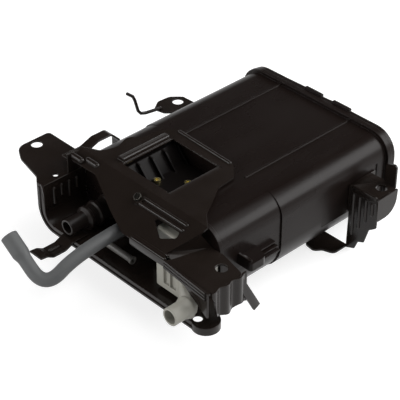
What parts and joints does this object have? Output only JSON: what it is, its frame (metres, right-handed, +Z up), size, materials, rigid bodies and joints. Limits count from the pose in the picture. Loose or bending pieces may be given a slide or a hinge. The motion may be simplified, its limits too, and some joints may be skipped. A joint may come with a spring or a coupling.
{
  "type": "charcoal canister",
  "caption": "Black moulded fuel vapour canister with stamped steel brackets, a moulded rubber purge hose, a vapour port and a light grey vent elbow.",
  "frame": {"origin": "middle of the flat underside of the moulded case", "axes": "+Z up through the case, +X from the ports to the rear cover, +Y to the far side in the picture"},
  "size_m": [0.3588, 0.2884, 0.1072],
  "materials": {
    "case_plastic": "moulded black nylon, satin gloss",
    "charcoal": null,
    "felt": "needled polyester felt",
    "grid_plastic": "moulded black nylon",
    "spring_steel": "drawn spring wire",
    "port_plastic": "moulded black nylon, satin",
    "vent_plastic": "moulded light grey nylon",
    "seal_rubber": "moulded rubber",
    "hose_rubber": "moulded grey-black rubber, matt",
    "bracket_steel": "black electrocoat on stamped steel, semi-gloss",
    "zinc_steel": "yellow zinc plate"
  },
  "bodies": {
    "root": {"case": "case_plastic", "rear_cover": "case_plastic", "main_charcoal_bed": "charcoal", "near_charcoal_bed": "charcoal", "far_charcoal_bed": "charcoal", "main_front_filter": "felt", "near_front_filter": "felt", "far_front_filter": "felt", "main_rear_filter": "felt", "near_rear_filter": "felt", "far_rear_filter": "felt", "main_pressure_grid": "grid_plastic", "near_pressure_grid": "grid_plastic", "far_pressure_grid": "grid_plastic", "main_springs": "spring_steel", "near_spring": "spring_steel", "far_spring": "spring_steel", "valve_tray": "port_plastic", "valve_screws": "zinc_steel", "vapour_port": "port_plastic", "vapour_port_seal": "seal_rubber", "vent_elbow": "vent_plastic", "vent_elbow_seal": "seal_rubber", "drain_nipple": "port_plastic", "purge_hose": "hose_rubber", "front_cradle": "bracket_steel", "cradle_arm": "bracket_steel", "top_bracket": "bracket_steel", "rear_near_bracket": "bracket_steel", "rear_far_bracket": "bracket_steel", "far_hook": "bracket_steel", "bracket_bolts": "zinc_steel"}
  },
  "joints": []
}
